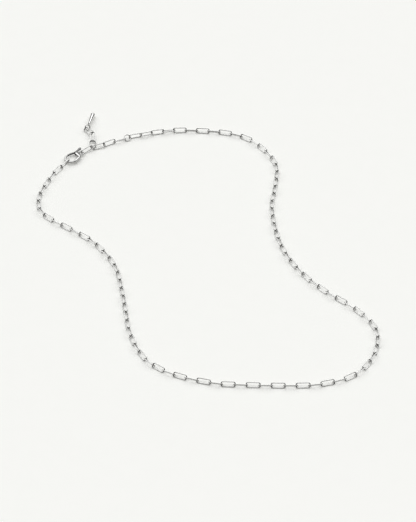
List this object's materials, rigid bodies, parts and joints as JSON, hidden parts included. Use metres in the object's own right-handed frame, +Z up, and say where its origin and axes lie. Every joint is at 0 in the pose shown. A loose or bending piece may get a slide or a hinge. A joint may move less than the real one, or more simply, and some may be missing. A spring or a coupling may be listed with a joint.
{
  "type": "paperclip chain necklace",
  "caption": "Fine silver-coloured paperclip chain necklace with a lobster clasp, a short extension and a tail with a small baton drop.",
  "frame": {"origin": "middle of the footprint, on the surface that the necklace lies on", "axes": "+Z up from the surface, +Y from the front of the neck towards the clasp, +X to the right seen from above"},
  "size_m": [0.132, 0.162, 0.0027],
  "materials": {
    "silver": "polished"
  },
  "bodies": {
    "necklace": {"chain": "silver", "hook_link": "silver", "start_ring": "silver", "extension_link_1": "silver", "extension_link_2": "silver", "extension_link_3": "silver", "end_ring": "silver", "clasp_link": "silver", "clasp_body": "silver", "clasp_pin": "silver", "tail_link_1": "silver", "tail_link_2": "silver", "drop_ring": "silver", "drop": "silver"},
    "lever": {"clasp_lever": "silver"}
  },
  "joints": [
    {"name": "clasp_lever_hinge", "type": "hinge", "parent": "necklace", "child": "lever", "pos_m": [-0.05122, 0.05522, 0.001], "axis": [0, 0, 1], "range_deg": [0, 22], "stiffness_Nm_per_rad": 0.003, "springref_deg": -5.73}
  ]
}
